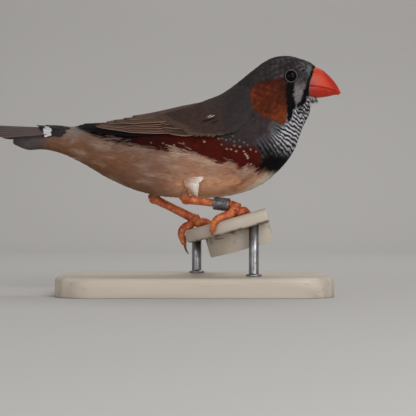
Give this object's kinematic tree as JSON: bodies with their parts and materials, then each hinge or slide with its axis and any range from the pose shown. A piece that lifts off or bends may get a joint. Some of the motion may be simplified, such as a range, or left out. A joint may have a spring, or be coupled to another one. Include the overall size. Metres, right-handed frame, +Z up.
{
  "type": "zebra finch model on a display stand",
  "caption": "Life-size still model of a male zebra finch that grips a short curved length of plastic rim, held on short rods over a flat wooden base.",
  "frame": {"origin": "centre of the flat underside of the stand's base", "axes": "+X the way the bird faces, along the base's long side; +Y the bird's left; +Z up"},
  "size_m": [0.1075, 0.054, 0.0738],
  "materials": {
    "plumage": "small soft contour feathers",
    "flight_feather": "smooth vaned feathers, satin",
    "bill": "smooth horny bill, semi-gloss",
    "eye": "wet gloss",
    "leg_skin": "finely scaled skin, satin",
    "claw": "horn, semi-gloss",
    "leg_ring": "thin rolled band, worn",
    "perch_rim": "milky plastic, stained",
    "stand_base": "pale limed oak, oiled",
    "stand_rod": "brushed rod"
  },
  "bodies": {
    "root": {"bill_lower": "bill", "bill_upper": "bill", "claw_left_hallux": "claw", "claw_left_inner": "claw", "claw_left_middle": "claw", "claw_left_outer": "claw", "claw_right_hallux": "claw", "claw_right_inner": "claw", "claw_right_middle": "claw", "claw_right_outer": "claw", "eye_left": "eye", "eye_right": "eye", "foot_left": "leg_skin", "foot_right": "leg_skin", "head": "plumage", "leg_ring": "leg_ring", "neck": "plumage", "perch_rim": "perch_rim", "rump": "plumage", "stand_base": "stand_base", "stand_rod_back": "stand_rod", "stand_rod_front": "stand_rod", "tail": "flight_feather", "tarsus_left": "leg_skin", "tarsus_right": "leg_skin", "thigh_left": "plumage", "thigh_right": "plumage", "torso": "plumage", "wing_left": "flight_feather", "wing_right": "flight_feather"}
  },
  "joints": []
}
